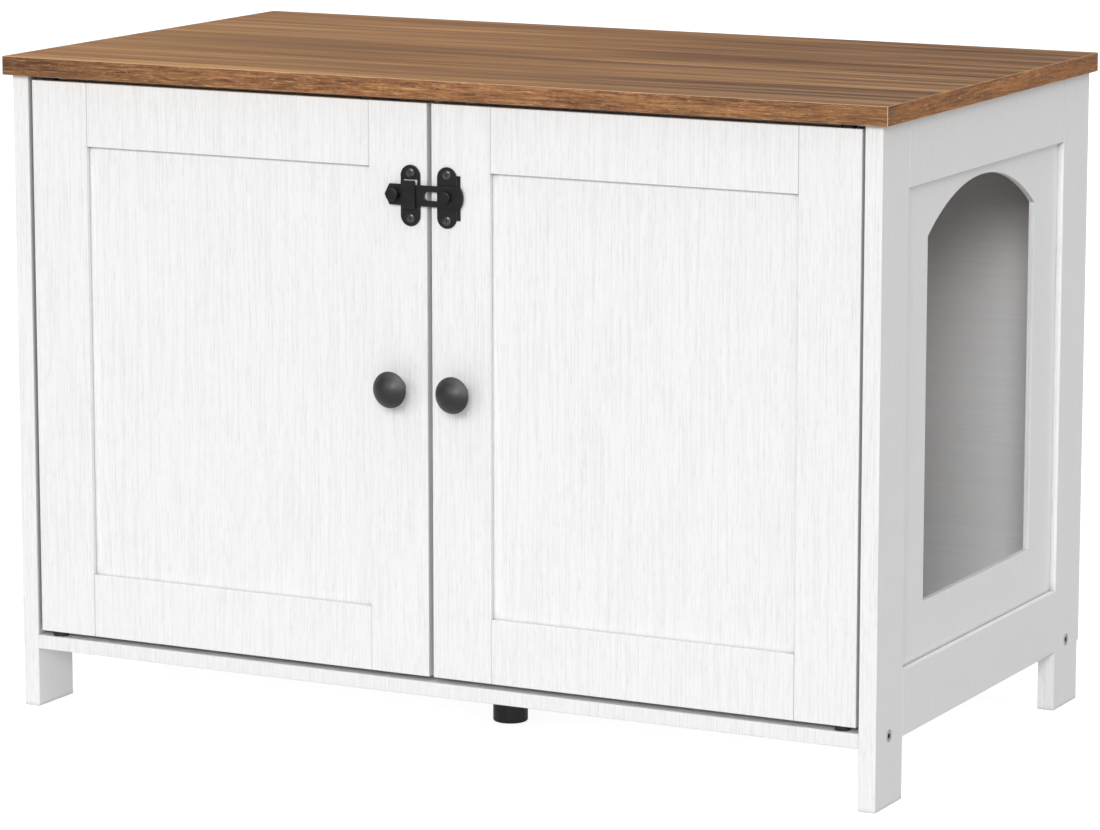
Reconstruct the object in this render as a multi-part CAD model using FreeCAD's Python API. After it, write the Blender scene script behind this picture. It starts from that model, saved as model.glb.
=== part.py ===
import FreeCAD
import Part
import math
import os

# ---------------------------------------------------------------------------
# Cat litter box cabinet. Millimetres, +Z up, floor at z = 0.
# X runs to the right along the front, Y runs from the front to the back.
# Every y below is measured from the front face of the legs; y_mid moves the
# result so that the middle of the whole bounding box lies on the Z axis.
# ---------------------------------------------------------------------------

# carcass
carcass_w = 800.0          # over the legs
carcass_d = 438.0          # over the legs
leg_h = 547.0
leg_t = 15.0               # thickness, across X
leg_w = 53.0               # width, along Y
top_t = 16.0
top_over = 6.5             # the top board stands out on all four sides
board_z = 51.0             # underside of the bottom board and bottom rails
board_t = 12.0
rail_h = 55.0
rail_t = 15.0
back_t = 3.0
back_z0 = 51.5
back_z1 = 546.5

# side panels, held in grooves of the legs and rails
panel_t = 5.0
panel_recess = 5.5
groove = 6.5
tongue = 6.0

# arched opening of the right side panel
arch_mid_y = 219.0
arch_half_w = 114.0
arch_z0 = 151.0
arch_spring_z = 447.3
arch_top_z = 484.3

# doors
door_w = 380.0
door_z0 = 67.2
door_z1 = 543.2
door_t = 15.0
door_setback = 1.5
door_gap_mid = 4.0
stile_w = 54.0
door_panel_t = 5.0
door_panel_recess = 4.2

# door pivots
pivot_x = 367.5
pivot_y = 9.0
pin_r = 3.0
pin_clear = 0.1
socket_r = 5.0
flange_r = 6.5

# knobs
knob_x = 29.0
knob_z = 308.2
knob_head_r = 15.2
knob_rim_y = -15.5
knob_front_y = -23.5
knob_stem_r = 6.3

# latch
plate_x = 16.8             # plate centres, left and right of the middle
plate_z = 467.2
plate_w = 17.8
plate_h = 50.2
plate_t = 1.5
plate_screw_dz = 18.8
lever_z = 467.9
lever_h = 17.2
lever_y0 = -2.2            # front face of the lever
lever_y1 = -0.3            # back face of the lever

# centre support foot
foot_y = 142.0
foot_r = 14.9

y_mid = (carcass_d + top_over + knob_front_y) / 2.0

half_w = carcass_w / 2.0
inner_x = half_w - leg_t
door_y0 = door_setback
door_y1 = door_setback + door_t


def V(x, y, z):
    return FreeCAD.Vector(x, y - y_mid, z)


def box(x0, x1, y0, y1, z0, z1):
    return Part.makeBox(abs(x1 - x0), y1 - y0, z1 - z0, V(min(x0, x1), y0, z0))


def rod(r, x, y, z, length, axis):
    """Cylinder from (x, y, z) along a unit axis."""
    return Part.makeCylinder(r, length, V(x, y, z), FreeCAD.Vector(*axis))


def cone(r0, r1, x, y, z, length, axis):
    return Part.makeCone(r0, r1, length, V(x, y, z), FreeCAD.Vector(*axis))


def prism_y(points, y0, y1):
    """Closed (x, z) outline, swept from y0 to y1."""
    wire = Part.makePolygon([V(x, y0, z) for x, z in points] + [V(points[0][0], y0, points[0][1])])
    return Part.Face(wire).extrude(FreeCAD.Vector(0, y1 - y0, 0))


def prism_x(points, x0, x1):
    """Closed (y, z) outline, swept from x0 to x1."""
    wire = Part.makePolygon([V(x0, y, z) for y, z in points] + [V(x0, points[0][0], points[0][1])])
    return Part.Face(wire).extrude(FreeCAD.Vector(x1 - x0, 0, 0))


def turned_y(profile, x, z):
    """Solid turned about a line along Y through (x, z). profile is a list of
    (radius, y) points or ("arc", (radius, y) through, (radius, y) end)."""
    edges = []
    at = profile[0]
    for item in profile[1:]:
        if item[0] == "arc":
            mid, end = item[1], item[2]
            edges.append(Part.Arc(V(x + at[0], at[1], z), V(x + mid[0], mid[1], z), V(x + end[0], end[1], z)).toShape())
            at = end
        else:
            edges.append(Part.makeLine(V(x + at[0], at[1], z), V(x + item[0], item[1], z)))
            at = item
    edges.append(Part.makeLine(V(x + at[0], at[1], z), V(x + profile[0][0], profile[0][1], z)))
    face = Part.Face(Part.Wire(edges))
    return face.revolve(V(x, 0, z), FreeCAD.Vector(0, 1, 0), 360)


def dome(r0, y0, y_top):
    """Arc item of a turned profile: part of a sphere centred on the axis, from
    radius r0 at y0 to the axis at y_top (towards the front, y_top < y0, or
    towards the back)."""
    h = abs(y_top - y0)
    s = 1.0 if y_top > y0 else -1.0
    big = (r0 ** 2 + h ** 2) / (2.0 * h)
    centre = y_top - s * big
    half = math.asin(r0 / big) / 2.0 if h <= big else (math.pi - math.asin(r0 / big)) / 2.0
    return ("arc", (big * math.sin(half), centre + s * big * math.cos(half)), (0.0, y_top))


def stadium(cx, cz, w, h, y0, y1):
    """Upright plate with full-round ends."""
    r = w / 2.0
    straight = h / 2.0 - r
    body = box(cx - r, cx + r, y0, y1, cz - straight, cz + straight)
    for s in (-1, 1):
        body = body.fuse(rod(r, cx, y0, cz + s * straight, y1 - y0, (0, 1, 0)))
    return body.removeSplitter()


def fillet_where(shape, radius, test, along=None):
    """Rounds the edges whose end points all satisfy the test, and that run
    along the given axis (0, 1 or 2) if one is given."""
    found = []
    for e in shape.Edges:
        if not all(test(v.X, v.Y + y_mid, v.Z) for v in e.Vertexes):
            continue
        if along is not None:
            a, b = e.Vertexes[0].Point, e.Vertexes[-1].Point
            if abs((b - a)[along]) < 0.99 * e.Length:
                continue
        found.append(e)
    return shape.makeFillet(radius, found) if found else shape


parts = {}


def node(name, shape):
    parts[name] = shape


# ---------------------------------------------------------------------------
# Where the hidden fixings go, so that the boards can be bored for them
# ---------------------------------------------------------------------------
rail_y0 = leg_w
rail_y1 = carcass_d - leg_w
low_rail_z0, low_rail_z1 = board_z, board_z + rail_h - 0.5
top_rail_z0, top_rail_z1 = leg_h - rail_h, leg_h
panel_x_out = half_w - panel_recess
panel_x_in = panel_x_out - panel_t

dowel_r, dowel_len = 4.0, 30.0
dowel_x = half_w - rail_t / 2.0
dowel_zs = (low_rail_z0 + 15.0, low_rail_z1 - 14.5, top_rail_z0 + 15.0, top_rail_z1 - 15.0)

screw_ys = (leg_w / 2.0, carcass_d - leg_w / 2.0)     # centre lines of the legs
screw_z = board_z + board_t / 2.0 + 0.5

cam_r, cam_depth, cam_drop = 7.5, 12.0, 34.0
cam_bolt_r, cam_hole_r = 2.5, 3.5


def dowel_bores(side):
    out = []
    for y in (rail_y0, rail_y1):
        for z in dowel_zs:
            out.append(rod(dowel_r, side * dowel_x, y - dowel_len / 2.0, z, dowel_len, (0, 1, 0)))
    return out


def leg(side, y0):
    x0, x1 = side * inner_x, side * half_w
    body = box(x0, x1, y0, y0 + leg_w, 0.0, leg_h)
    front = y0 < carcass_d / 2.0
    # groove for the side panel, on the edge that faces the rails
    gy0, gy1 = (y0 + leg_w - groove, y0 + leg_w) if front else (y0, y0 + groove)
    body = body.cut(box(side * panel_x_in, side * panel_x_out, gy0, gy1,
                        low_rail_z1 - groove, top_rail_z0 + groove))
    for bore in dowel_bores(side):
        body = body.cut(bore)
    y = y0 + leg_w / 2.0
    # hex-socket screw into the bottom board: shank hole and countersink
    body = body.cut(rod(3.5, side * inner_x, y, screw_z, leg_t, (side, 0, 0)))
    body = body.cut(cone(5.4, 3.5, side * half_w, y, screw_z, 3.0, (-side, 0, 0)))
    # cam disc bore on the inner face and the bolt hole down to it
    body = body.cut(rod(cam_r, side * inner_x, y, leg_h - cam_drop, cam_depth, (side, 0, 0)))
    body = body.cut(rod(cam_hole_r, side * dowel_x, y, leg_h - cam_drop, cam_drop, (0, 0, 1)))
    return body


def cam_disc(side, y):
    z = leg_h - cam_drop
    disc = rod(cam_r, side * inner_x, y, z, cam_depth, (side, 0, 0))
    # hollow for the bolt head, open upwards, and a cross slot on the face
    disc = disc.cut(box(side * (dowel_x - 4.0), side * (dowel_x + 4.0), y - 4.0, y + 4.0, z - 4.0, z + 8.0))
    disc = disc.cut(box(side * inner_x, side * (inner_x + 1.6), y - 4.2, y + 4.2, z - 0.8, z + 0.8))
    disc = disc.cut(box(side * inner_x, side * (inner_x + 1.6), y - 0.8, y + 0.8, z - 4.2, z + 4.2))
    return disc


def cam_bolt(side, y):
    z = leg_h - cam_drop
    head = rod(3.3, side * dowel_x, y, z - 2.0, 3.0, (0, 0, 1))
    shank = rod(cam_bolt_r, side * dowel_x, y, z, cam_drop, (0, 0, 1))
    thread = rod(3.0, side * dowel_x, y, leg_h, 11.0, (0, 0, 1))
    collar = rod(3.4, side * dowel_x, y, leg_h - 2.0, 2.0, (0, 0, 1))
    return head.fuse([shank, thread, collar]).removeSplitter()


# ---------------------------------------------------------------------------
# Carcass
# ---------------------------------------------------------------------------
top = box(-half_w - top_over, half_w + top_over, -top_over, carcass_d + top_over, leg_h, leg_h + top_t)
for side in (-1, 1):
    for y in screw_ys:
        top = top.cut(rod(3.0, side * dowel_x, y, leg_h, 11.0, (0, 0, 1)))
    top = top.cut(rod(socket_r, side * pivot_x, pivot_y, leg_h, 10.0, (0, 0, 1)))

node("leg_front_left", leg(-1, 0.0))
node("leg_front_right", leg(1, 0.0))
node("leg_back_left", leg(-1, rail_y1))
node("leg_back_right", leg(1, rail_y1))


def rail(side, z0, z1, groove_on_top):
    body = box(side * inner_x, side * half_w, rail_y0, rail_y1, z0, z1)
    gz0, gz1 = (z1 - groove, z1) if groove_on_top else (z0, z0 + groove)
    body = body.cut(box(side * panel_x_in, side * panel_x_out, rail_y0, rail_y1, gz0, gz1))
    for bore in dowel_bores(side):
        body = body.cut(bore)
    return body


for side, word in ((-1, "left"), (1, "right")):
    node("side_top_rail_" + word, rail(side, top_rail_z0, top_rail_z1, False))
    node("side_bottom_rail_" + word, rail(side, low_rail_z0, low_rail_z1, True))

panel_box = (rail_y0 - tongue, rail_y1 + tongue, low_rail_z1 - tongue, top_rail_z0 + tongue)
node("side_panel_left", box(-panel_x_in, -panel_x_out, *panel_box))

# The opening is straight below and a flat arc above; the arc meets the
# upright edges at a corner.
rise = arch_top_z - arch_spring_z
arch_r = (arch_half_w ** 2 + rise ** 2) / (2.0 * rise)
ay0, ay1 = arch_mid_y - arch_half_w, arch_mid_y + arch_half_w
arch_edges = [
    Part.makeLine(V(panel_x_in - 1, ay0, arch_z0), V(panel_x_in - 1, ay1, arch_z0)),
    Part.makeLine(V(panel_x_in - 1, ay1, arch_z0), V(panel_x_in - 1, ay1, arch_spring_z)),
    Part.Arc(V(panel_x_in - 1, ay1, arch_spring_z), V(panel_x_in - 1, arch_mid_y, arch_top_z),
             V(panel_x_in - 1, ay0, arch_spring_z)).toShape(),
    Part.makeLine(V(panel_x_in - 1, ay0, arch_spring_z), V(panel_x_in - 1, ay0, arch_z0)),
]
arch_tool = Part.Face(Part.Wire(arch_edges)).extrude(FreeCAD.Vector(panel_t + 2, 0, 0))
node("side_panel_right_arched", box(panel_x_in, panel_x_out, *panel_box).cut(arch_tool))

bottom = box(-inner_x, inner_x, 0.0, carcass_d, board_z, board_z + board_t)
for side in (-1, 1):
    for y in screw_ys:
        bottom = bottom.cut(rod(2.6, side * inner_x, y, screw_z, 35.0, (-side, 0, 0)))
    bottom = bottom.cut(rod(socket_r, side * pivot_x, pivot_y, board_z + board_t, 10.0, (0, 0, -1)))
bottom = bottom.cut(rod(3.0, 0.0, foot_y, board_z, 8.0, (0, 0, 1)))
node("top_board", top)

# thin back panel, nailed to the back edges of the legs and the bottom board
nails = []
back = box(-half_w, half_w, carcass_d, carcass_d + back_t, back_z0, back_z1)
nail_spots = [(s * dowel_x, z) for s in (-1, 1) for z in (75.0, 185.0, 299.0, 413.0, 525.0)]
nail_spots += [(x, board_z + board_t / 2.0) for x in (-300.0, -150.0, 0.0, 150.0, 300.0)]
for x, z in nail_spots:
    hole = rod(0.8, x, carcass_d - 14.0, z, 14.0 + back_t, (0, 1, 0))
    back = back.cut(hole)
    if abs(x) > inner_x:
        name = "leg_back_right" if x > 0 else "leg_back_left"
        parts[name] = parts[name].cut(hole)
    else:
        bottom = bottom.cut(hole)
    nail = hole.fuse(cone(2.2, 1.8, x, carcass_d + back_t, z, 0.7, (0, 1, 0))).removeSplitter()
    nails.append(nail)
node("bottom_board", bottom)
node("back_panel", back)
node("back_panel_nails", Part.makeCompound(nails))

# dowels, cams and cam bolts
dowels = [d for side in (-1, 1) for d in dowel_bores(side)]
node("rail_dowels", Part.makeCompound(dowels))
node("top_cam_discs", Part.makeCompound([cam_disc(s, y) for s in (-1, 1) for y in screw_ys]))
node("top_cam_bolts", Part.makeCompound([cam_bolt(s, y) for s in (-1, 1) for y in screw_ys]))


def side_screw(side, y):
    """Countersunk screw with a hex socket, through the leg into the board's end."""
    head = cone(5.3, 3.4, side * (half_w - 0.1), y, screw_z, 2.9, (-side, 0, 0))
    neck = rod(3.4, side * (half_w - 3.0), y, screw_z, leg_t - 3.0, (-side, 0, 0))
    thread = rod(2.6, side * inner_x, y, screw_z, 35.0, (-side, 0, 0))
    body = head.fuse([neck, thread]).removeSplitter()
    r = 4.3 / math.sqrt(3.0)
    ring = [(y + r * math.cos(math.radians(60 * k + 90)), screw_z + r * math.sin(math.radians(60 * k + 90))) for k in range(6)]
    return body.cut(prism_x(ring, side * (half_w + 0.5), side * (half_w - 4.5)))


node("side_screws", Part.makeCompound([side_screw(s, y) for s in (-1, 1) for y in screw_ys]))

# centre support foot: plain round foot, small round at the floor edge
foot = rod(foot_r, 0.0, foot_y, 0.0, board_z, (0, 0, 1))
foot = fillet_where(foot, 1.6, lambda x, y, z: abs(z) < 0.01)
foot = foot.cut(rod(3.0, 0.0, foot_y, board_z - 24.0, 24.0, (0, 0, 1)))
node("support_foot", foot)
node("support_foot_screw", rod(3.0, 0.0, foot_y, board_z - 24.0, 32.0, (0, 0, 1)))

# ---------------------------------------------------------------------------
# Door pivots: flanged sockets in the boards, flanged pins in the doors
# ---------------------------------------------------------------------------
board_top = board_z + board_t


def socket_low(side):
    body = rod(socket_r, side * pivot_x, pivot_y, board_top - 10.0, 10.0, (0, 0, 1))
    body = body.fuse(rod(flange_r, side * pivot_x, pivot_y, board_top, 2.0, (0, 0, 1))).removeSplitter()
    return body.cut(rod(pin_r + pin_clear, side * pivot_x, pivot_y, board_top - 8.0, 12.0, (0, 0, 1)))


def socket_high(side):
    body = rod(socket_r, side * pivot_x, pivot_y, leg_h, 10.0, (0, 0, 1))
    body = body.fuse(rod(flange_r, side * pivot_x, pivot_y, leg_h - 1.8, 1.8, (0, 0, 1))).removeSplitter()
    return body.cut(rod(pin_r + pin_clear, side * pivot_x, pivot_y, leg_h - 3.0, 11.0, (0, 0, 1)))


node("pivot_sockets_lower", Part.makeCompound([socket_low(s) for s in (-1, 1)]))
node("pivot_sockets_upper", Part.makeCompound([socket_high(s) for s in (-1, 1)]))


def pivot_pins(side):
    x = side * pivot_x
    low = rod(pin_r, x, pivot_y, board_top - 7.0, door_z0 + 14.0 - (board_top - 7.0), (0, 0, 1))
    low = low.fuse(rod(flange_r, x, pivot_y, board_top + 2.3, door_z0 - board_top - 2.3, (0, 0, 1))).removeSplitter()
    high = rod(pin_r, x, pivot_y, door_z1 - 14.0, leg_h + 7.0 - (door_z1 - 14.0), (0, 0, 1))
    high = high.fuse(rod(flange_r, x, pivot_y, door_z1, leg_h - 1.8 - 0.3 - door_z1, (0, 0, 1))).removeSplitter()
    return [low, high]


# ---------------------------------------------------------------------------
# Doors: two stiles, two rails with stub tenons, and a thin recessed panel
# ---------------------------------------------------------------------------
dp_y0 = door_y0 + door_panel_recess
dp_y1 = dp_y0 + door_panel_t
catch_z = 537.0
strike_x = 13.0
knob_bore_r = 2.0


def door(side, word):
    near = side * door_gap_mid / 2.0                    # edge at the middle
    far = side * (door_gap_mid / 2.0 + door_w)          # edge at the leg
    near_in = near + side * stile_w
    far_in = far - side * stile_w

    outer = box(far_in, far, door_y0, door_y1, door_z0, door_z1)
    outer = outer.cut(box(far_in, far_in + side * groove, dp_y0, dp_y1, door_z0, door_z1))
    for pin in pivot_pins(side):
        outer = outer.cut(pin)
    inner = box(near, near_in, door_y0, door_y1, door_z0, door_z1)
    inner = inner.cut(box(near_in - side * groove, near_in, dp_y0, dp_y1, door_z0, door_z1))
    # through hole for the knob screw
    inner = inner.cut(rod(2.3, side * knob_x, door_y0 - 1, knob_z, door_t + 2, (0, 1, 0)))
    # pilot holes of the latch plate screws and the strike plate screw
    for s in (-1, 1):
        inner = inner.cut(plate_screw_shape(side * plate_x, plate_z + s * plate_screw_dz))
    inner = inner.cut(strike_screw_shape(side))
    node("door_%s_outer_stile" % word, outer)
    node("door_%s_inner_stile" % word, inner)
    for z0, name, up in ((door_z0, "bottom", True), (door_z1 - stile_w, "top", False)):
        body = box(near_in, far_in, door_y0, door_y1, z0, z0 + stile_w)
        gz0 = z0 + stile_w - groove if up else z0
        body = body.cut(box(near_in, far_in, dp_y0, dp_y1, gz0, gz0 + groove))
        tz0, tz1 = (z0, z0 + stile_w - groove) if up else (z0 + groove, z0 + stile_w)
        for a, b in ((near_in, near_in - side * tongue), (far_in, far_in + side * tongue)):
            body = body.fuse(box(a, b, dp_y0, dp_y1, tz0, tz1))
        node("door_%s_%s_rail" % (word, name), body.removeSplitter())
    node("door_%s_panel" % word,
         box(near_in - side * tongue, far_in + side * tongue, dp_y0, dp_y1,
             door_z0 + stile_w - tongue, door_z1 - stile_w + tongue))
    node("door_%s_pivot_pins" % word, Part.makeCompound(pivot_pins(side)))

    # domed knob on a waisted stem, drawn by its outline from the door outwards
    profile = [
        (0.0, door_y0), (knob_stem_r, door_y0), (knob_stem_r, door_y0 - 1.4),
        ("arc", (4.9, door_y0 - 5.2), (5.6, door_y0 - 9.6)),
        ("arc", (9.6, knob_rim_y + 2.9), (knob_head_r - 0.5, knob_rim_y + 1.5)),
        ("arc", (knob_head_r, knob_rim_y + 0.75), (knob_head_r - 0.35, knob_rim_y)),
        dome(knob_head_r - 0.35, knob_rim_y, knob_front_y),
    ]
    knob = turned_y(profile, side * knob_x, knob_z)
    knob = knob.cut(rod(knob_bore_r, side * knob_x, door_y0 - 12.0, knob_z, 13.0, (0, 1, 0)))
    node("knob_" + word, knob)
    screw = rod(knob_bore_r, side * knob_x, door_y0 - 12.0, knob_z, 12.0 + door_t, (0, 1, 0))
    head = turned_y([(0.0, door_y1), (4.2, door_y1), (4.2, door_y1 + 0.6),
                     dome(4.2, door_y1 + 0.6, door_y1 + 2.4)], side * knob_x, knob_z)
    screw = screw.fuse(head).removeSplitter()
    screw = screw.cut(box(side * knob_x - 2.4, side * knob_x + 2.4, door_y1 + 1.0, door_y1 + 3.0, knob_z - 0.5, knob_z + 0.5))
    screw = screw.cut(box(side * knob_x - 0.5, side * knob_x + 0.5, door_y1 + 1.0, door_y1 + 3.0, knob_z - 2.4, knob_z + 2.4))
    node("knob_screw_" + word, screw)

    # steel strike plate for the magnetic stop, on the back of the inner stile
    strike = rod(6.0, side * strike_x, door_y1, catch_z, 1.0, (0, 1, 0))
    node("strike_plate_" + word, strike.cut(strike_screw_shape(side)))
    node("strike_plate_screw_" + word, strike_screw_shape(side))


def strike_screw_shape(side):
    x = side * strike_x
    tip = rod(1.2, x, door_y1 - 8.0, catch_z, 8.0, (0, 1, 0))
    head = cone(1.2, 2.2, x, door_y1, catch_z, 1.0, (0, 1, 0))
    return tip.fuse(head).removeSplitter()


def plate_screw_shape(x, z):
    """Countersunk bore for one latch plate screw, through the plate into the door."""
    front = door_y0 - plate_t
    head = cone(3.9, 1.6, x, front, z, 2.5, (0, 1, 0))
    shank = rod(1.6, x, front + 2.5, z, 9.5, (0, 1, 0))
    return head.fuse(shank).removeSplitter()


def plate_screw(x, z):
    """Raised-countersunk screw with a cross recess. Its rim sits just below the
    plate's front, so that a narrow ring of the countersink stays open."""
    front = door_y0 - plate_t
    body = turned_y([(0.0, front + 12.0), (1.6, front + 12.0), (1.6, front + 2.5), (3.3, front + 0.65),
                     dome(3.3, front + 0.65, front)], x, z)
    for a, b in ((1.9, 0.38), (0.38, 1.9)):
        body = body.cut(box(x - a, x + a, front - 0.1, front + 1.3, z - b, z + b))
    return body


door(-1, "left")
door(1, "right")

# ---------------------------------------------------------------------------
# Latch: keeper with an upward hook on the left door, pivot plate and stud on
# the right door, slotted lever between them
# ---------------------------------------------------------------------------
front = door_y0 - plate_t                     # front face of both plates
hook_half = 6.2
hook_front, hook_back = -4.1, -2.6
hook_z0, hook_z1 = 456.9, 480.0

keeper = stadium(-plate_x, plate_z, plate_w, plate_h, front, door_y0)
# window that the hook is bent out of, with a relief notch at each end of the bend
keeper = keeper.cut(box(-plate_x - 6.5, -plate_x + 6.5, front - 1, door_y0 + 1, hook_z0 + 1.9, 480.6))
for s in (-1, 1):
    nx0, nx1 = sorted((-plate_x + s * hook_half, -plate_x + s * 7.1))
    keeper = keeper.cut(box(nx0, nx1, front - 1, door_y0 + 1, hook_z0 - 0.3, hook_z0 + 3.0))
shelf = box(-plate_x - hook_half, -plate_x + hook_half, hook_front, door_y0, hook_z0, hook_z0 + 1.9)
leaf = box(-plate_x - hook_half, -plate_x + hook_half, hook_front, hook_back, hook_z0, hook_z1)
hook = shelf.fuse(leaf).removeSplitter()
# round bend at the foot of the hook, rounded upper corners
hook = fillet_where(hook, 1.3, lambda x, y, z: abs(y - hook_front) < 0.01 and abs(z - hook_z0) < 0.01, 0)
hook = fillet_where(hook, 0.8, lambda x, y, z: abs(z - hook_z1) < 0.01 and abs(abs(x + plate_x) - hook_half) < 0.01, 1)
keeper = keeper.fuse(hook).removeSplitter()
for s in (-1, 1):
    keeper = keeper.cut(plate_screw_shape(-plate_x, plate_z + s * plate_screw_dz))
node("latch_keeper_plate", keeper)
node("latch_keeper_screws", Part.makeCompound([plate_screw(-plate_x, plate_z + s * plate_screw_dz) for s in (-1, 1)]))

pivot_plate = stadium(plate_x, plate_z, plate_w, plate_h, front, door_y0)
# low ear on the right-hand edge
ear = box(plate_x + plate_w / 2.0 - 3.0, 29.0, front + 0.4, door_y0, 449.0, 485.6)
pivot_plate = pivot_plate.fuse(ear).removeSplitter()
for s in (-1, 1):
    pivot_plate = pivot_plate.cut(plate_screw_shape(plate_x, plate_z + s * plate_screw_dz))
stud_r = 3.3
pivot_plate = pivot_plate.cut(rod(stud_r, plate_x, front, lever_z, plate_t, (0, 1, 0)))
node("latch_pivot_plate", pivot_plate)
node("latch_pivot_plate_screws", Part.makeCompound([plate_screw(plate_x, plate_z + s * plate_screw_dz) for s in (-1, 1)]))

stud_head_y = lever_y0 - 0.3
stud = turned_y([(0.0, door_y0), (stud_r, door_y0), (stud_r, stud_head_y), (5.2, stud_head_y), (5.2, stud_head_y - 2.6),
                 ("arc", (4.9, stud_head_y - 3.1), (4.3, stud_head_y - 3.3)),
                 dome(4.3, stud_head_y - 3.3, stud_head_y - 3.65)], plate_x, lever_z)
node("latch_pivot_stud", stud)

# lever: pointed end on the left, round end about the stud on the right
tip_x, shoulder_x = -39.6, -35.2
lever_half = lever_h / 2.0
end_r = 16.0
arc_x = plate_x + math.sqrt(end_r ** 2 - lever_half ** 2)
outline = [
    Part.makeLine(V(tip_x, lever_y0, lever_z), V(shoulder_x, lever_y0, lever_z + lever_half)),
    Part.makeLine(V(shoulder_x, lever_y0, lever_z + lever_half), V(arc_x, lever_y0, lever_z + lever_half)),
    Part.Arc(V(arc_x, lever_y0, lever_z + lever_half), V(plate_x + end_r, lever_y0, lever_z),
             V(arc_x, lever_y0, lever_z - lever_half)).toShape(),
    Part.makeLine(V(arc_x, lever_y0, lever_z - lever_half), V(shoulder_x, lever_y0, lever_z - lever_half)),
    Part.makeLine(V(shoulder_x, lever_y0, lever_z - lever_half), V(tip_x, lever_y0, lever_z)),
]
lever = Part.Face(Part.Wire(outline)).extrude(FreeCAD.Vector(0, lever_y1 - lever_y0, 0))
slot_half = 3.6
slot_x0 = 0.4
lever = lever.cut(box(slot_x0, plate_x, lever_y0 - 1, lever_y1 + 1, lever_z - slot_half, lever_z + slot_half))
for x in (slot_x0, plate_x):
    lever = lever.cut(rod(slot_half, x, lever_y0 - 1, lever_z, lever_y1 - lever_y0 + 2, (0, 1, 0)))
peg_x, peg_r = -30.4, 5.3
lever = lever.cut(rod(2.0, peg_x, lever_y0 - 1, lever_z, lever_y1 - lever_y0 + 2, (0, 1, 0)))
node("latch_lever", lever)
peg = turned_y([(0.0, lever_y1), (2.0, lever_y1), (2.0, lever_y0), (peg_r, lever_y0), (peg_r, lever_y0 - 5.2),
                ("arc", (peg_r - 0.25, lever_y0 - 5.75), (peg_r - 0.8, lever_y0 - 6.0)),
                dome(peg_r - 0.8, lever_y0 - 6.0, lever_y0 - 6.4)], peg_x, lever_z)
node("latch_lever_peg", peg)

# ---------------------------------------------------------------------------
# Magnetic door stop under the middle of the top board
# ---------------------------------------------------------------------------
catch_y0 = door_y1 + 1.3
catch_z0 = leg_h - 15.0
stop = box(-25.0, 25.0, catch_y0, catch_y0 + 15.0, catch_z0, leg_h)
for side in (-1, 1):
    x0, x1 = side * 6.0, side * 20.0
    stop = stop.cut(box(x0, x1, catch_y0, catch_y0 + 10.0, catch_z - 3.0, catch_z + 3.0))
stop_screws = []
for side in (-1, 1):
    # slotted ears behind the housing
    ear = box(side * 8.0, side * 22.0, catch_y0 + 15.0, catch_y0 + 25.0, leg_h - 2.5, leg_h)
    stop = stop.fuse(ear)
stop = stop.removeSplitter()
for side in (-1, 1):
    x, y = side * 15.0, catch_y0 + 20.0
    screw = rod(1.5, x, y, leg_h - 2.5, 13.0, (0, 0, 1))
    stop = stop.cut(rod(1.5, x, y, leg_h - 3.0, 4.0, (0, 0, 1)))
    parts["top_board"] = parts["top_board"].cut(rod(1.5, x, y, leg_h, 10.5, (0, 0, 1)))
    head = rod(3.2, x, y, leg_h - 4.2, 1.7, (0, 0, 1))
    screw = screw.fuse(head).removeSplitter()
    for a, b in ((2.0, 0.4), (0.4, 2.0)):
        screw = screw.cut(box(x - a, x + a, y - b, y + b, leg_h - 4.4, leg_h - 3.2))
    stop_screws.append(screw)
node("door_stop_housing", stop)
node("door_stop_magnets", Part.makeCompound([box(s * 6.0, s * 20.0, catch_y0 + 0.4, catch_y0 + 10.0, catch_z - 3.0, catch_z + 3.0) for s in (-1, 1)]))
node("door_stop_screws", Part.makeCompound(stop_screws))

os.makedirs("parts", exist_ok=True)
for name, shape in parts.items():
    solids = shape.Solids
    if not solids or not shape.isValid():
        raise RuntimeError("%s is not a valid solid" % name)
    single = len(solids) == 1
    out = solids[0] if single else Part.makeCompound(solids)
    out.exportStep("parts/%s.step" % name)
    b = out.BoundBox
    print("%-28s %2d solid  X %7.1f %7.1f  Y %7.1f %7.1f  Z %6.1f %6.1f  %9.1f cm3" % (
        name, len(solids), b.XMin, b.XMax, b.YMin, b.YMax, b.ZMin, b.ZMax, out.Volume / 1000.0))
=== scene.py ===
import math

import bpy
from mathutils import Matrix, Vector

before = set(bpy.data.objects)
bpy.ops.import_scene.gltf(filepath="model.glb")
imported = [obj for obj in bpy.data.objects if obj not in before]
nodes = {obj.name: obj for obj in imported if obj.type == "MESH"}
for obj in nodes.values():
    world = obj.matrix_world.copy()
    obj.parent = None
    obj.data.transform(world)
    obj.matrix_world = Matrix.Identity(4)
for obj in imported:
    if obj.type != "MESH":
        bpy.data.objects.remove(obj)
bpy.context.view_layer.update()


# ---------------------------------------------------------------------------
# Node-tree helper
# ---------------------------------------------------------------------------
def srgb(r, g, b, a=1.0):
    """0-255 display colour to the linear colour a shader takes."""
    def lin(c):
        c /= 255.0
        return c / 12.92 if c <= 0.04045 else ((c + 0.055) / 1.055) ** 2.4
    return (lin(r), lin(g), lin(b), a)


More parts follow.
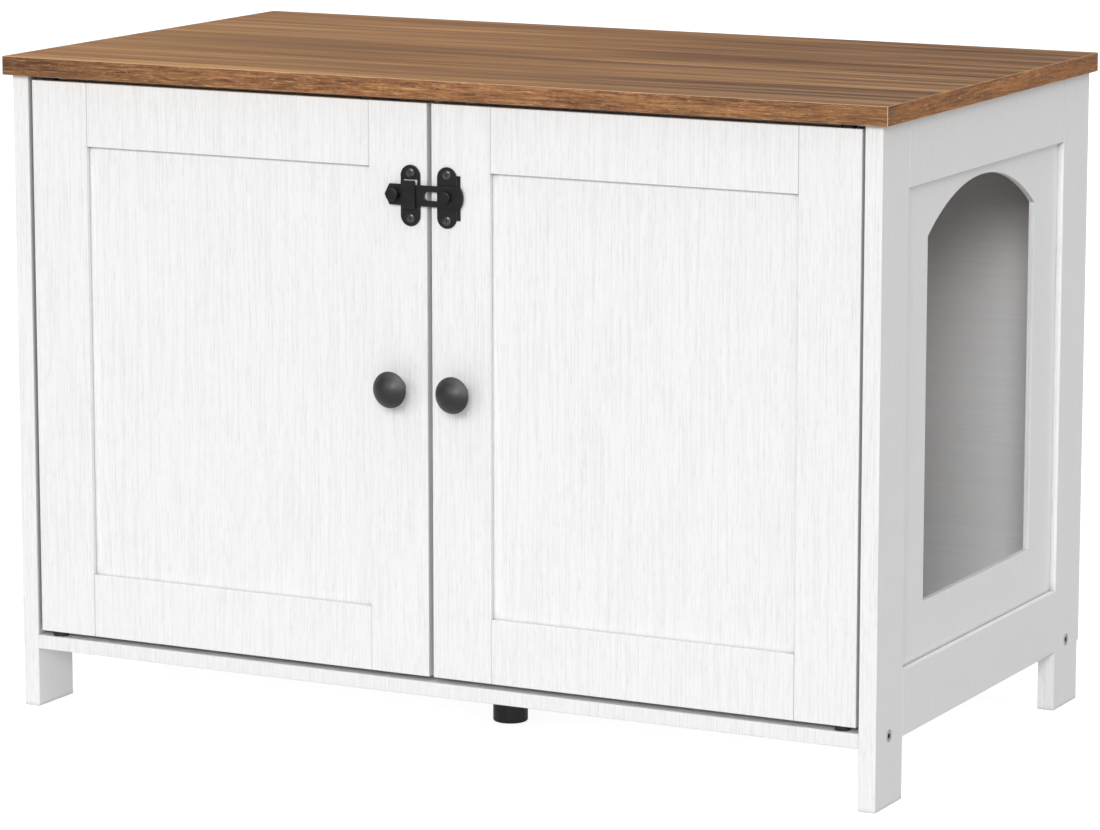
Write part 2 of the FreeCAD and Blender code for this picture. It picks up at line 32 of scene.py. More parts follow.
class Look:
    """A material under construction: every method adds a node and returns the socket to use next."""

    def __init__(self, name):
        self.mat = bpy.data.materials.new(name)
        self.mat.use_nodes = True
        self.t = self.mat.node_tree
        self.t.nodes.clear()
        self.out = self.t.nodes.new("ShaderNodeOutputMaterial")
        self.bsdf = self.t.nodes.new("ShaderNodeBsdfPrincipled")
        self.t.links.new(self.bsdf.outputs["BSDF"], self.out.inputs["Surface"])
        self._coord = None

    def put(self, socket, value):
        if isinstance(value, bpy.types.NodeSocket):
            self.t.links.new(value, socket)
        elif value is not None:
            socket.default_value = value

    def coord(self, which="Object"):
        if self._coord is None:
            self._coord = self.t.nodes.new("ShaderNodeTexCoord")
        return self._coord.outputs[which]

    def mapped(self, vec, scale=(1, 1, 1), offset=(0, 0, 0), turn=(0, 0, 0)):
        n = self.t.nodes.new("ShaderNodeMapping")
        self.put(n.inputs["Vector"], vec)
        n.inputs["Scale"].default_value = scale
        n.inputs["Location"].default_value = offset
        n.inputs["Rotation"].default_value = turn
        return n.outputs["Vector"]

    def noise(self, vec, scale=1.0, detail=2.0, rough=0.5, distort=0.0, lacunarity=2.0):
        n = self.t.nodes.new("ShaderNodeTexNoise")
        n.noise_dimensions = "3D"
        self.put(n.inputs["Vector"], vec)
        n.inputs["Scale"].default_value = scale
        n.inputs["Detail"].default_value = detail
        n.inputs["Roughness"].default_value = rough
        n.inputs["Lacunarity"].default_value = lacunarity
        n.inputs["Distortion"].default_value = distort
        return n.outputs["Fac"]

    def voronoi(self, vec, scale=1.0, feature="F1", out="Distance"):
        n = self.t.nodes.new("ShaderNodeTexVoronoi")
        n.feature = feature
        self.put(n.inputs["Vector"], vec)
        n.inputs["Scale"].default_value = scale
        return n.outputs[out]

    def math(self, op, a, b=None, c=None, clamp=False):
        n = self.t.nodes.new("ShaderNodeMath")
        n.operation = op
        n.use_clamp = clamp
        self.put(n.inputs[0], a)
        self.put(n.inputs[1], b)
        self.put(n.inputs[2], c)
        return n.outputs[0]

    def add(self, *terms):
        total = terms[0]
        for t in terms[1:]:
            total = self.math("ADD", total, t)
        return total

    def times(self, a, b):
        return self.math("MULTIPLY", a, b)

    def span(self, value, lo, hi, out_lo=0.0, out_hi=1.0, kind="SMOOTHSTEP"):
        n = self.t.nodes.new("ShaderNodeMapRange")
        n.interpolation_type = kind
        n.clamp = True
        self.put(n.inputs["Value"], value)
        n.inputs["From Min"].default_value = lo
        n.inputs["From Max"].default_value = hi
        n.inputs["To Min"].default_value = out_lo
        n.inputs["To Max"].default_value = out_hi
        return n.outputs["Result"]

    def split(self, vec):
        n = self.t.nodes.new("ShaderNodeSeparateXYZ")
        self.put(n.inputs[0], vec)
        return n.outputs[0], n.outputs[1], n.outputs[2]

    def join(self, x, y, z):
        n = self.t.nodes.new("ShaderNodeCombineXYZ")
        self.put(n.inputs[0], x)
        self.put(n.inputs[1], y)
        self.put(n.inputs[2], z)
        return n.outputs[0]

    def ramp(self, fac, stops, kind="B_SPLINE"):
        n = self.t.nodes.new("ShaderNodeValToRGB")
        n.color_ramp.interpolation = kind
        self.put(n.inputs[0], fac)
        e = n.color_ramp.elements
        while len(e) < len(stops):
            e.new(0.5)
        for el, (pos, col) in zip(e, stops):
            el.position = pos
            el.color = col
        return n.outputs["Color"]

    def crevice(self, reach, samples=4):
        """1 in the open, falling towards 0 in a corner, joint or narrow gap no wider than reach."""
        n = self.t.nodes.new("ShaderNodeAmbientOcclusion")
        n.samples = samples
        n.inputs["Distance"].default_value = reach
        return n.outputs["AO"]

    def mix(self, fac, a, b, blend="MIX"):
        n = self.t.nodes.new("ShaderNodeMix")
        n.data_type = "RGBA"
        n.blend_type = blend
        n.clamp_factor = True
        self.put(n.inputs[0], fac)
        self.put(n.inputs[6], a)
        self.put(n.inputs[7], b)
        return n.outputs[2]

    def mixf(self, fac, a, b):
        n = self.t.nodes.new("ShaderNodeMix")
        n.data_type = "FLOAT"
        self.put(n.inputs[0], fac)
        self.put(n.inputs[2], a)
        self.put(n.inputs[3], b)
        return n.outputs[0]

    def bump(self, height, strength, distance, below=None):
        n = self.t.nodes.new("ShaderNodeBump")
        n.inputs["Strength"].default_value = strength
        n.inputs["Distance"].default_value = distance
        self.put(n.inputs["Height"], height)
        self.put(n.inputs["Normal"], below)
        return n.outputs["Normal"]

    def finish(self, color=None, rough=None, normal=None, **fixed):
        self.put(self.bsdf.inputs["Base Color"], color)
        self.put(self.bsdf.inputs["Roughness"], rough)
        self.put(self.bsdf.inputs["Normal"], normal)
        for k, v in fixed.items():
            self.bsdf.inputs[k.replace("_", " ")].default_value = v
        return self.mat


def seeded(i):
    """A fixed far-away offset, so that no two boards share one stretch of grain."""
    return (13.7 * (i % 7) + 1.3 * i, 7.9 * (i % 5) + 2.1 * i, 3.1 * (i % 11) + 0.7 * i)


# ---------------------------------------------------------------------------
# Materials
# ---------------------------------------------------------------------------
def white_board(name, i, along="z", tone=1.0, emboss=1.0, joint_shade=0.0, flank_shade=0.0, unshaded_face=False):
    """White foil over board: fine embossed wood grain, a trace of grey in the pores.
    The faces that look sideways show it less, as pores there catch no light.
    The grain runs along z, or with "x" along x on the broad faces and upright on the front edge.
    seam greys the small arris of upright joints, where two foiled pieces butt together: painted shade in the joint;
    flank greys the edge foil on the faces that look sideways: painted shade, as in the gap between the doors.
    Joints, corners and gaps get painted shade from the crevice term, apart from the front face where unshaded_face is
    set; the arris that faces down is greyed as painted shade under it."""
    m = Look(name)
    off = seeded(i)
    p = m.coord()
    # slow, slight sideways wander of the grain lines
    lazy = {"z": (3.0, 3.0, 1.2), "x": (1.2, 3.0, 3.0)}[along]
    wander = m.noise(m.mapped(p, lazy, off), 2.0, 2.0, 0.5)
    x, y, z = m.split(p)
    push = m.times(m.math("SUBTRACT", wander, 0.5), 0.0030)
    if along == "z":
        q = m.join(m.add(x, push), m.add(y, push), z)
    else:
        q = m.join(x, m.add(y, push), m.add(z, push))

    nx, ny, nz = m.split(m.coord("Normal"))
    ahead = m.span(m.times(ny, -1.0), 0.88, 0.96)

    def grain(k):
        """Coordinates squeezed by k along the grain."""
        if along == "z":
            return m.mapped(q, (1.0, 1.0, k), off)
        a, b, c = m.split(q)
        return m.mapped(m.join(m.times(a, m.mixf(ahead, k, 1.0)), b, m.times(c, m.mixf(ahead, 1.0, k))), (1, 1, 1), off)

    pores = m.noise(grain(0.075), 640.0, 3.0, 0.62)
    ticks = m.noise(grain(0.13), 780.0, 2.0, 0.55)
    lines = m.noise(grain(0.016), 760.0, 2.0, 0.55)
    drift = m.noise(m.mapped(p, (1, 1, 0.45) if along == "z" else (0.45, 1, 1), off), 11.0, 3.0, 0.55)
    patch = m.span(drift, 0.35, 0.65, 0.80, 1.0)
    deep = m.times(m.span(pores, 0.48, 0.66), patch)
    small = m.times(m.span(ticks, 0.50, 0.70), patch)
    long_lines = m.span(lines, 0.44, 0.64)
    groove = m.add(m.times(deep, 0.36), m.times(small, 0.38), m.times(long_lines, 0.42))
    side = m.math("ABSOLUTE", nx)
    shown = m.span(side, 0.5, 0.9, 1.0, 0.28)
    w, g = 0.905 * tone, 0.72 * tone
    col = m.mix(m.times(m.times(groove, shown), 0.74), (w, w, w * 0.999, 1), (g, g, g * 1.004, 1))
    col = m.mix(m.span(drift, 0.3, 0.7, 0.0, 0.08), col, (0.84 * tone, 0.84 * tone, 0.838 * tone, 1))
    # painted shade: the upright arrises of the door pieces are greyed, standing for the shade in the groove where two
    # pieces butt together
    if joint_shade:
        edge = m.times(m.span(side, 0.12, 0.40), m.span(side, 0.80, 0.97, 1.0, 0.0))
        col = m.mix(m.times(edge, joint_shade), col, (0.42, 0.42, 0.425, 1))
    # painted shade: the sideways faces of the door pieces are greyed, as in the gap between the doors and on the recess
    # walls
    if flank_shade:
        col = m.mix(m.times(m.span(side, 0.90, 0.99), flank_shade), col, (0.30, 0.30, 0.304, 1))
    # painted shade: the arris that faces down is greyed, as shade under the edge
    under = m.times(nz, -1.0)
    edge = m.times(m.span(under, 0.10, 0.35), m.span(under, 0.80, 0.97, 1.0, 0.0))
    col = m.mix(m.times(edge, 0.45), col, (0.42, 0.42, 0.425, 1))
    # painted shade: the crevice term darkens joints, corners, recesses and gaps towards dark grey, standing for the
    # shade that falls there; it is weaker on the sideways door faces and the top of the bottom board, and on the front
    # face where unshaded_face is set
    crevice_shade = m.span(m.crevice(0.008), 0.0, 0.74, 0.74, 0.0)
    if flank_shade:
        crevice_shade = m.times(crevice_shade, m.span(side, 0.90, 0.97, 1.0, 0.35))
    if along == "x":
        crevice_shade = m.times(crevice_shade, m.span(nz, 0.90, 0.97, 1.0, 0.30))
    if unshaded_face:
        crevice_shade = m.times(crevice_shade, m.span(ahead, 0.0, 1.0, 1.0, 0.12))
    col = m.mix(crevice_shade, col, (0.10, 0.10, 0.10, 1))
    rough = m.span(groove, 0.0, 1.0, 0.46, 0.62, "LINEAR")
    nrm = m.bump(m.times(groove, -1.0), 0.42 * emboss, 0.00028)
    return m.finish(col, rough, nrm, IOR=1.45)


def sheet(name, i):
    """Thin white-faced back sheet with a faint level grain."""
    m = Look(name)
    off = seeded(i)
    p = m.coord()
    lines = m.noise(m.mapped(p, (0.010, 1.0, 1.0), off), 420.0, 3.0, 0.6)
    wide = m.noise(m.mapped(p, (0.03, 1.0, 1.0), off), 60.0, 2.0, 0.5)
    fibre = m.noise(p, 1400.0, 2.0, 0.6)
    g = m.add(m.times(m.span(lines, 0.35, 0.68), 0.75), m.times(m.span(wide, 0.3, 0.7), 0.25))
    col = m.mix(g, (0.855, 0.853, 0.852, 1), (0.818, 0.816, 0.816, 1))
    rough = m.span(fibre, 0.3, 0.7, 0.55, 0.70)
    nrm = m.bump(m.add(m.times(g, -0.8), m.times(fibre, 0.2)), 0.25, 0.0002)
    return m.finish(col, rough, nrm, IOR=1.45)


def gain(color, k):
    return (color[0] * k, color[1] * k, color[2] * k, 1.0)


def walnut(name):
    """Printed walnut: long streaks on the face, warmer fleck-grained bands on the edges, pale arrises."""
    m = Look(name)
    p = m.coord()
    x, y, z = m.split(p)
    nx, ny, nz = m.split(m.coord("Normal"))
    on_top = m.span(m.math("ABSOLUTE", nz), 0.6, 0.8)
    on_side = m.span(m.math("ABSOLUTE", nx), 0.6, 0.8)

    # ---- face, grain along x --------------------------------------------
    wander = m.noise(m.mapped(p, (0.9, 2.6, 1.0), (4.1, 9.3, 0.0)), 1.0, 3.0, 0.5)
    sway = m.times(m.math("SUBTRACT", wander, 0.5), 0.060)
    yy = m.add(y, sway)
    q = m.join(x, yy, 0.0)
    broad = m.noise(m.mapped(q, (0.8, 10.0, 1.0), (3.0, 1.7, 0.0)), 1.0, 2.0, 0.55)
    mid = m.noise(m.mapped(q, (1.9, 52.0, 1.0), (8.0, 4.0, 0.0)), 1.0, 4.0, 0.70)
    thin = m.noise(m.mapped(q, (5.0, 260.0, 1.0), (1.0, 2.0, 0.0)), 1.0, 3.0, 0.62)
    hair = m.noise(m.mapped(q, (14.0, 1100.0, 1.0), (5.0, 2.0, 0.0)), 1.0, 2.0, 0.6)
    pale = m.noise(m.mapped(q, (1.3, 85.0, 1.0), (31.0, 14.0, 0.0)), 1.0, 3.0, 0.6)
    tone = m.add(m.times(broad, 0.40), m.times(mid, 0.78), m.times(thin, 0.34), m.times(hair, 0.07), -0.295)
    k = 1.28
    face = m.ramp(m.span(tone, 0.385, 0.665, 0.0, 1.0, "LINEAR"), [
        (0.00, gain(srgb(92, 62, 44), k)),
        (0.28, gain(srgb(126, 89, 62), k)),
        (0.52, gain(srgb(150, 109, 74), k)),
        (0.74, gain(srgb(170, 126, 84), k)),
        (1.00, gain(srgb(196, 152, 104), k)),
    ], "LINEAR")
    # painted light: the top is made lighter towards its left end and greyer and cooler towards its right end, as the
    # light falls across it; the grey streaks are grain, but their growth towards the right is painted shade
    greyer = m.noise(m.mapped(q, (1.1, 15.0, 1.0), (22.0, 6.0, 0.0)), 1.0, 2.0, 0.5)
    face = m.mix(m.times(m.span(greyer, 0.46, 0.70), m.span(x, -0.35, 0.35, 0.22, 0.46)), face, gain(srgb(118, 94, 80), k))
    face = m.mix(m.times(m.span(pale, 0.55, 0.68), 0.55), face, gain(srgb(190, 146, 98), k))
    pores = m.times(m.span(hair, 0.55, 0.70), m.span(mid, 0.35, 0.65, 1.0, 0.45))
    face = m.mix(m.times(pores, 0.44), face, gain(srgb(84, 56, 40), k))
    painted_light_left = m.span(x, -0.42, 0.30, 1.0, 0.0, "LINEAR")
    face = m.mix(m.times(painted_light_left, 0.42), face, gain(srgb(192, 147, 103), k))
    face = m.mix(m.span(x, 0.0, 0.40, 0.0, 1.0, "LINEAR"), face, m.mix(1.0, face, (0.86, 0.91, 1.01, 1), "MULTIPLY"))

    # ---- edge bands -------------------------------------------------------
    # long edges run along x, short edges along y; both use z across
    along = m.mixf(on_side, x, y)
    turn = m.noise(m.join(m.times(along, 7.0), m.times(z, 20.0), m.times(on_side, 7.0)), 1.0, 2.0, 0.5)
    zz = m.add(z, m.times(m.math("SUBTRACT", turn, 0.5), m.mixf(on_side, 0.012, 0.018)))
    patchy = m.noise(m.join(m.times(along, 9.0), m.times(zz, 80.0), m.times(on_side, 5.0)), 1.0, 3.0, 0.6)
    streak = m.noise(m.join(m.times(along, 34.0), m.times(zz, 540.0), m.times(on_side, 5.0)), 1.0, 3.0, 0.70)
    fleck = m.noise(m.join(m.times(along, 170.0), m.times(zz, 900.0), 3.0), 1.0, 2.0, 0.6)
    glint = m.noise(m.join(m.times(along, 90.0), m.times(zz, 760.0), 8.0), 1.0, 2.0, 0.6)
    et = m.add(m.times(patchy, 0.30), m.times(streak, 0.60), m.times(fleck, 0.30), -0.10)
    band = m.ramp(m.span(et, 0.375, 0.725, 0.0, 1.0, "LINEAR"), [
        (0.00, gain(srgb(88, 54, 32), 1.20)),
        (0.28, gain(srgb(130, 86, 50), 1.20)),
        (0.55, gain(srgb(162, 114, 68), 1.20)),
        (0.78, gain(srgb(186, 138, 86), 1.20)),
        (1.00, gain(srgb(214, 170, 116), 1.20)),
    ], "LINEAR")
    band = m.mix(m.times(m.span(glint, 0.58, 0.70), 0.60), band, gain(srgb(206, 158, 104), 1.26))
    band = m.mix(m.times(m.span(fleck, 0.54, 0.66), 0.62), band, gain(srgb(80, 46, 28), 1.0))

    # the front band is darker towards both ends, the side band towards the front
    shade = m.mixf(on_side, m.times(m.span(x, -0.41, -0.12, 0.74, 1.04), m.span(x, 0.12, 0.41, 1.0, 0.86)),
                   m.span(y, -0.235, -0.14, 0.72, 1.02))
    # painted light: the one edge band is darkened and cooled on the front face and warmed on the side face, against the
    # lamps' reflection on each
    band = m.mix(1.0, band, m.mix(on_side, (0.94, 0.94, 1.00, 1), (1.13, 0.97, 0.60, 1)), "MULTIPLY")
    band = m.mix(1.0, band, m.join(shade, shade, shade), "MULTIPLY")
    col = m.mix(on_top, band, face)
    # the thin pale line where face foil and edge band meet
    peak = m.math("MAXIMUM", m.math("MAXIMUM", m.math("ABSOLUTE", nx), m.math("ABSOLUTE", ny)), m.math("ABSOLUTE", nz))
    arris = m.span(peak, 0.86, 0.995, 1.0, 0.0)
    upright = m.span(m.math("ABSOLUTE", nz), 0.2, 0.5, 1.0, 0.55)
    col = m.mix(m.times(m.times(arris, upright), 0.80), col, srgb(226, 190, 158))
    groove = m.mixf(on_top, m.add(m.times(streak, 0.6), m.times(fleck, 0.4)), m.add(m.times(thin, 0.4), m.times(hair, 0.6)))
    rough = m.span(groove, 0.3, 0.7, 0.40, 0.54)
    nrm = m.bump(groove, 0.22, 0.00030)
    return m.finish(col, rough, nrm, IOR=1.47)


def coated_black(name, i, base=0.0065, rough=(0.40, 0.52), grain=1500.0, depth=0.00006, ior=1.42, worn=0.0):
    """Black coat on pressed or turned steel: fine skin, slight change of gloss, a trace of dusty grey."""
    m = Look(name)
    off = seeded(i)
    p = m.mapped(m.coord(), (1, 1, 1), off)
    skin = m.noise(p, grain, 3.0, 0.6)
    cloud = m.noise(p, 130.0, 3.0, 0.55)
    speck = m.voronoi(p, 900.0)
    lift = m.add(m.times(m.span(cloud, 0.35, 0.7), 0.6), m.times(m.span(skin, 0.4, 0.7), 0.4))
    col = m.mix(lift, (base * 0.75, base * 0.75, base * 0.78, 1), (base * 1.45, base * 1.44, base * 1.42, 1))
    peak = m.math("MAXIMUM", m.math("MAXIMUM", *[m.math("ABSOLUTE", c) for c in m.split(m.coord("Normal"))[:2]]),
                  m.math("ABSOLUTE", m.split(m.coord("Normal"))[2]))
    if worn:
        col = m.mix(m.times(m.span(peak, 0.80, 0.99, 1.0, 0.0), m.span(cloud, 0.35, 0.65, 0.3, 1.0)), col, (worn, worn, worn, 1))
    r = m.span(m.add(m.times(cloud, 0.6), m.times(skin, 0.4)), 0.35, 0.65, rough[0], rough[1])
    h = m.add(m.times(skin, 0.8), m.times(speck, 0.35))
    nrm = m.bump(h, 0.35, depth)
    return m.finish(col, r, nrm, IOR=ior)


def plated(name, i, axis="x", base=(0.58, 0.59, 0.61), rough=(0.26, 0.42), recess_shade=0.0):
    """Zinc-plated steel: faint turning lines and a cloudy passivated tint, with painted shade darkening its recesses.
    """
    m = Look(name)
    off = seeded(i)
    p = m.mapped(m.coord(), (1, 1, 1), off)
    cloud = m.noise(p, 260.0, 3.0, 0.6)
    lines = m.noise(m.mapped(p, (6.0, 1.0, 1.0) if axis == "x" else (1.0, 6.0, 1.0)), 700.0, 2.0, 0.6)
    col = m.mix(m.span(cloud, 0.35, 0.7), (*base, 1), (base[0] * 0.78, base[1] * 0.79, base[2] * 0.76, 1))
    # painted shade: the crevice term darkens the recesses, such as a bolt's hex socket, towards black
    if recess_shade:
        col = m.mix(m.span(m.crevice(0.005), 0.25, 0.85, recess_shade, 0.0), col, (0.01, 0.01, 0.01, 1))
    r = m.span(m.add(m.times(lines, 0.6), m.times(cloud, 0.4)), 0.35, 0.65, rough[0], rough[1])
    nrm = m.bump(lines, 0.25, 0.00005)
    return m.finish(col, r, nrm, Metallic=1.0)


def plastic(name, i, base, rough=(0.38, 0.50), depth=0.00004):
    """Moulded plastic with a fine spark-eroded skin."""
    m = Look(name)
    off = seeded(i)
    p = m.mapped(m.coord(), (1, 1, 1), off)
    skin = m.noise(p, 2200.0, 2.0, 0.6)
    flow = m.noise(m.mapped(p, (1, 1, 0.3)), 60.0, 3.0, 0.5)
    b = Vector(base)
    col = m.mix(m.span(flow, 0.35, 0.65), (*(b * 0.93), 1), (*(b * 1.07), 1))
    r = m.span(m.add(m.times(flow, 0.5), m.times(skin, 0.5)), 0.4, 0.6, rough[0], rough[1])
    nrm = m.bump(skin, 0.3, depth)
    return m.finish(col, r, nrm, IOR=1.49)


def beech(name, i):
    m = Look(name)
    off = seeded(i)
    p = m.mapped(m.coord(), (1, 0.05, 1), off)
    a = m.noise(p, 900.0, 3.0, 0.6)
    ray = m.noise(m.mapped(m.coord(), (1, 0.25, 1), off), 1600.0, 1.0, 0.5)
    col = m.ramp(a, [(0.25, srgb(176, 134, 92)), (0.5, srgb(205, 168, 124)), (0.8, srgb(224, 192, 150))], "LINEAR")
    col = m.mix(m.times(m.span(ray, 0.6, 0.72), 0.5), col, srgb(158, 112, 74))
    nrm = m.bump(a, 0.4, 0.0002)
    return m.finish(col, m.span(a, 0.3, 0.7, 0.55, 0.75), nrm)


# ---------------------------------------------------------------------------
# Clean shading for the CAD pieces: joined corners, a small round on each arris
# ---------------------------------------------------------------------------
def joiner():
    """Geometry node group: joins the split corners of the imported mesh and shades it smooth."""
    g = bpy.data.node_groups.new("join_corners", "GeometryNodeTree")
    g.interface.new_socket("Geometry", in_out="INPUT", socket_type="NodeSocketGeometry")
    g.interface.new_socket("Geometry", in_out="OUTPUT", socket_type="NodeSocketGeometry")
    a = g.nodes.new("NodeGroupInput")
    b = g.nodes.new("NodeGroupOutput")
    drop = g.nodes.new("GeometryNodeRemoveAttribute")
    drop.inputs["Name"].default_value = "custom_normal"
    weld = g.nodes.new("GeometryNodeMergeByDistance")
    weld.inputs["Distance"].default_value = 0.000004
    edges = g.nodes.new("GeometryNodeSetShadeSmooth")
    edges.domain = "EDGE"
    edges.inputs["Shade Smooth"].default_value = True
    faces = g.nodes.new("GeometryNodeSetShadeSmooth")
    faces.domain = "FACE"
    faces.inputs["Shade Smooth"].default_value = True
    chain = [a.outputs[0], drop.inputs["Geometry"], drop.outputs["Geometry"], weld.inputs["Geometry"],
             weld.outputs["Geometry"], edges.inputs["Geometry"], edges.outputs["Geometry"],
             faces.inputs["Geometry"], faces.outputs["Geometry"], b.inputs[0]]
    for s, d in zip(chain[::2], chain[1::2]):
        g.links.new(s, d)
    return g


def marker(shortest, steepest):
    """Geometry node group: gives full bevel weight to the edges that are sharp and longer than a hole's facets."""
    g = bpy.data.node_groups.new("mark_arrises", "GeometryNodeTree")
    g.interface.new_socket("Geometry", in_out="INPUT", socket_type="NodeSocketGeometry")
    g.interface.new_socket("Geometry", in_out="OUTPUT", socket_type="NodeSocketGeometry")
    a = g.nodes.new("NodeGroupInput")
    b = g.nodes.new("NodeGroupOutput")
    angle = g.nodes.new("GeometryNodeInputMeshEdgeAngle")
    ends = g.nodes.new("GeometryNodeInputMeshEdgeVertices")
    span = g.nodes.new("ShaderNodeVectorMath")
    span.operation = "DISTANCE"
    g.links.new(ends.outputs["Position 1"], span.inputs[0])
    g.links.new(ends.outputs["Position 2"], span.inputs[1])
    sharp = g.nodes.new("ShaderNodeMath")
    sharp.operation = "GREATER_THAN"
    g.links.new(angle.outputs["Unsigned Angle"], sharp.inputs[0])
    sharp.inputs[1].default_value = math.radians(steepest)
    long = g.nodes.new("ShaderNodeMath")
    long.operation = "GREATER_THAN"
    g.links.new(span.outputs["Value"], long.inputs[0])
    long.inputs[1].default_value = shortest
    both = g.nodes.new("ShaderNodeMath")
    both.operation = "MULTIPLY"
    g.links.new(sharp.outputs[0], both.inputs[0])
    g.links.new(long.outputs[0], both.inputs[1])
    keep = g.nodes.new("GeometryNodeStoreNamedAttribute")
    keep.data_type = "FLOAT"
    keep.domain = "EDGE"
    keep.inputs["Name"].default_value = "bevel_weight_edge"
    g.links.new(a.outputs[0], keep.inputs["Geometry"])
    g.links.new(both.outputs[0], keep.inputs["Value"])
    g.links.new(keep.outputs["Geometry"], b.inputs[0])
    return g


JOIN = joiner()
MARK = marker(0.0025, 32.0)


def soften(o, width, segments=2, angle=None):
    """Joins the corners and rounds the arrises: the long sharp edges, or with an angle every edge sharper than it."""
    m = o.modifiers.new("join", "NODES")
    m.node_group = JOIN
    d = o.modifiers.new("flat", "DECIMATE")
    d.decimate_type = "DISSOLVE"
    d.angle_limit = math.radians(0.6)
    if angle is None:
        k = o.modifiers.new("mark", "NODES")
        k.node_group = MARK
    b = o.modifiers.new("arris", "BEVEL")
    b.width = width
    b.segments = segments
    b.miter_outer = "MITER_SHARP"
    if angle is None:
        b.limit_method = "WEIGHT"
        b.use_clamp_overlap = False
    else:
        b.limit_method = "ANGLE"
        b.angle_limit = math.radians(angle)
        b.use_clamp_overlap = True
    w = o.modifiers.new("even", "WEIGHTED_NORMAL")
    w.mode = "FACE_AREA"
    w.weight = 100
    w.keep_sharp = False


def dress(name, mat, width=None, segments=2, angle=None):
    o = nodes[name]
    o.data.materials.clear()
    o.data.materials.append(mat)
    if width:
        soften(o, width, segments, angle)


ARRIS = 0.0005
boards = [
    ("leg_front_left", "z"), ("leg_front_right", "z"), ("leg_back_left", "z"), ("leg_back_right", "z"),
    ("side_top_rail_left", "z"), ("side_top_rail_right", "z"),
    ("side_bottom_rail_left", "z"), ("side_bottom_rail_right", "z"),
    ("side_panel_left", "z"), ("side_panel_right_arched", "z"),
    ("bottom_board", "x"),
]
for w in ("left", "right"):
    boards += [(f"door_{w}_{p}", "z") for p in ("outer_stile", "inner_stile", "bottom_rail", "top_rail", "panel")]
for i, (n, along) in enumerate(boards):
    dress(n, white_board("white_" + n, i + 1, along, tone=0.98 if along == "x" else 1.0, joint_shade=0.62 if n.startswith("door_") else 0.0,
                         flank_shade=0.16 if n.startswith("door_") else 0.0,
                         unshaded_face=n.endswith("_inner_stile")),
          0.0011 if n.startswith(("side_top_rail", "side_bottom_rail")) else ARRIS)
dress("back_panel", sheet("back_sheet_white", 40), 0.0003)
dress("top_board", walnut("walnut_top"), 0.0009, 2)

dress("rail_dowels", beech("beech_dowel", 3))
zinc = plated("zinc", 5)
for n in ("top_cam_discs", "top_cam_bolts", "back_panel_nails", "support_foot_screw", "door_stop_screws",
          "strike_plate_left", "strike_plate_right", "strike_plate_screw_left", "strike_plate_screw_right",
          "knob_screw_left", "knob_screw_right"):
    dress(n, zinc)
dress("side_screws", plated("bolt_steel", 6, base=(0.56, 0.56, 0.57), rough=(0.36, 0.50), recess_shade=0.96))
dress("door_stop_magnets", plated("magnet_steel", 9, base=(0.30, 0.30, 0.31), rough=(0.35, 0.5)))
dress("door_stop_housing", plastic("stop_white", 7, (0.82, 0.82, 0.81)), 0.0005)

for i, w in enumerate(("left", "right")):
    dress("knob_" + w, coated_black("knob_satin_" + w, 11 + i, base=0.011, rough=(0.42, 0.50), grain=2600.0, depth=0.00003, ior=1.62))
for i, n in enumerate(("latch_keeper_plate", "latch_pivot_plate", "latch_lever")):
    dress(n, coated_black("latch_coat_" + str(i), 20 + i, worn=0.045), 0.00035, 2, 38.0)
for i, n in enumerate(("latch_pivot_stud", "latch_lever_peg")):
    dress(n, coated_black("latch_fitting_" + str(i), 26 + i))
for i, n in enumerate(("latch_keeper_screws", "latch_pivot_plate_screws")):
    dress(n, coated_black("latch_screw_" + str(i), 28 + i, base=0.012, rough=(0.20, 0.30), ior=2.1))
foot_black = plastic("foot_black", 31, (0.014, 0.014, 0.015), (0.26, 0.34))
dress("support_foot", foot_black)
for i, n in enumerate(("pivot_sockets_lower", "pivot_sockets_upper", "door_left_pivot_pins", "door_right_pivot_pins")):
    dress(n, plastic("pivot_black_" + str(i), 33 + i, (0.016, 0.016, 0.017)))

# ---------------------------------------------------------------------------
# Floor, light, camera
# ---------------------------------------------------------------------------
import bmesh  # noqa: E402  Blender's own mesh tools

bm = bmesh.new()
bmesh.ops.create_grid(bm, x_segments=8, y_segments=8, size=40.0)
floor_mesh = bpy.data.meshes.new("floor")
bm.to_mesh(floor_mesh)
bm.free()
floor = bpy.data.objects.new("floor", floor_mesh)
bpy.context.scene.collection.objects.link(floor)
f = Look("floor_pale")
fn = f.noise(f.coord(), 3.0, 2.0, 0.5)
floor_mesh.materials.append(f.finish(f.mix(fn, (0.45, 0.45, 0.45, 1), (0.47, 0.47, 0.47, 1)), 0.85))
f.bsdf.inputs["Specular IOR Level"].default_value = 0.1
f.bsdf.inputs["Emission Color"].default_value = (1.0, 1.0, 1.0, 1)
floor_path = f.t.nodes.new("ShaderNodeLightPath")
f.put(f.bsdf.inputs["Emission Strength"], f.span(floor_path.outputs["Is Camera Ray"], 0.0, 1.0, 0.22, 0.84, "LINEAR"))
floor.location.z = -0.0002

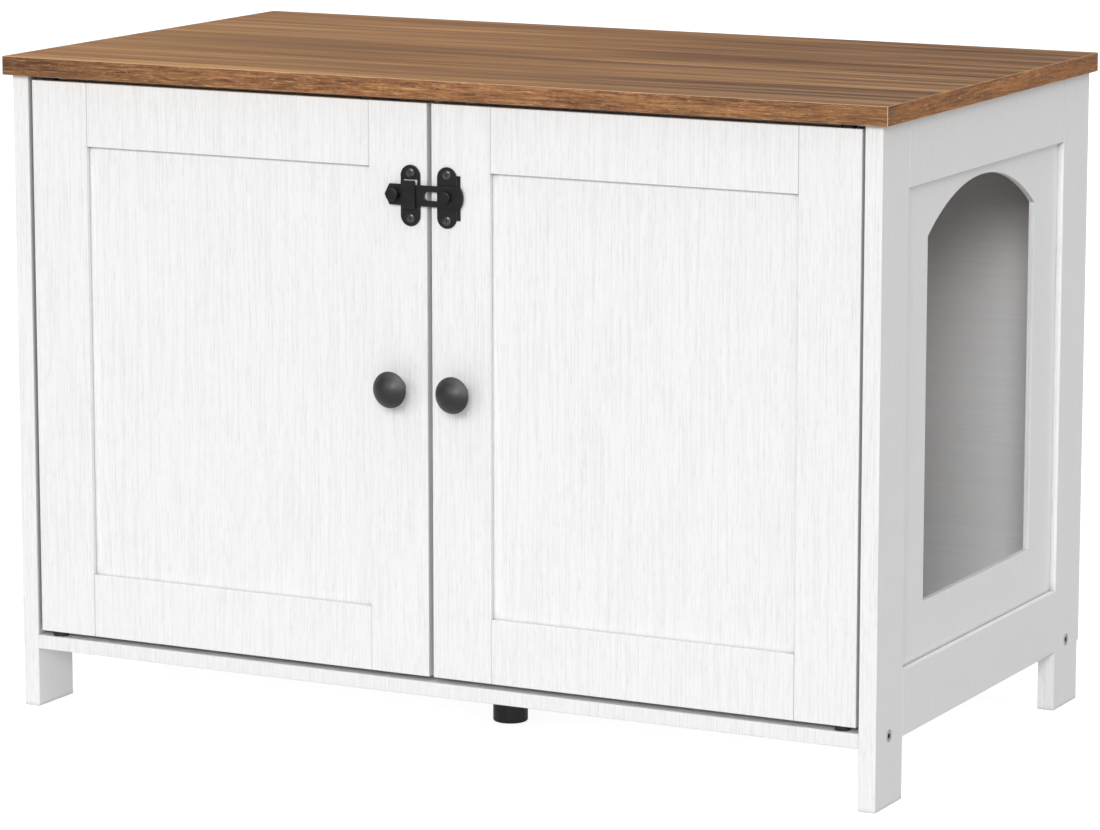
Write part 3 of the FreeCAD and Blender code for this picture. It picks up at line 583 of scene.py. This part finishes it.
world = bpy.data.worlds.new("studio")
bpy.context.scene.world = world
world.use_nodes = True
wt = world.node_tree
wt.nodes.clear()
wo = wt.nodes.new("ShaderNodeOutputWorld")
amb = wt.nodes.new("ShaderNodeBackground")
amb.inputs["Color"].default_value = (1.0, 1.0, 1.0, 1)
amb.inputs["Strength"].default_value = 0.09
seen = wt.nodes.new("ShaderNodeBackground")
seen.inputs["Color"].default_value = (1.0, 1.0, 1.0, 1)
seen.inputs["Strength"].default_value = 1.0
pick = wt.nodes.new("ShaderNodeMixShader")
path = wt.nodes.new("ShaderNodeLightPath")
wt.links.new(path.outputs["Is Camera Ray"], pick.inputs[0])
wt.links.new(amb.outputs[0], pick.inputs[1])
wt.links.new(seen.outputs[0], pick.inputs[2])
wt.links.new(pick.outputs[0], wo.inputs["Surface"])


def sun(name, towards, strength, angle):
    d = bpy.data.lights.new(name, "SUN")
    d.energy = strength
    d.angle = math.radians(angle)
    o = bpy.data.objects.new(name, d)
    bpy.context.scene.collection.objects.link(o)
    o.rotation_mode = "QUATERNION"
    o.rotation_quaternion = (-Vector(towards)).to_track_quat("-Z", "Y")
    return o


sun("key", (-0.26, -1.0, 0.46), 0.58, 26.0)
sun("overhead", (-0.10, 0.05, 1.0), 1.36, 60.0)
sun("fill", (0.34, -0.90, 0.38), 1.33, 20.0)
sun("sheen", (0.72, -0.50, 0.62), 0.70, 80.0)
# two large cards seen only as gloss, and not in the top, which would mirror them in low views from the left
carded = bpy.data.collections.new("seen_by_cards")
for n in nodes:
    if n != "top_board":
        carded.objects.link(nodes[n])
for name, towards, strength, angle in (("softbox", (0.74, -0.12, 0.66), 3.70, 84.0), ("reflector", (-0.92, -0.12, 0.38), 0.45, 100.0)):
    card = sun(name, towards, strength, angle)
    card.visible_diffuse = False
    card.light_linking.receiver_collection = carded

cam_data = bpy.data.cameras.new("camera")
cam = bpy.data.objects.new("camera", cam_data)
bpy.context.scene.collection.objects.link(cam)
cam_data.sensor_fit = "HORIZONTAL"
cam_data.sensor_width = 36.0
cam_data.lens = 157.48
cam_data.clip_start, cam_data.clip_end = 0.1, 200.0
cam_data.dof.use_dof = False
yaw, pitch = math.radians(27.260), math.radians(10.250)
cam.location = (1.8609, -3.6067, 0.9875)
cam.rotation_mode = "QUATERNION"
cam.rotation_quaternion = Vector((
    -math.sin(yaw) * math.cos(pitch), math.cos(yaw) * math.cos(pitch), -math.sin(pitch))).to_track_quat("-Z", "Y")
bpy.context.scene.camera = cam

bpy.context.scene.view_settings.view_transform = "Standard"
bpy.context.scene.view_settings.look = "None"
bpy.context.scene.view_settings.exposure = 0.0
bpy.context.scene.view_settings.gamma = 1.0
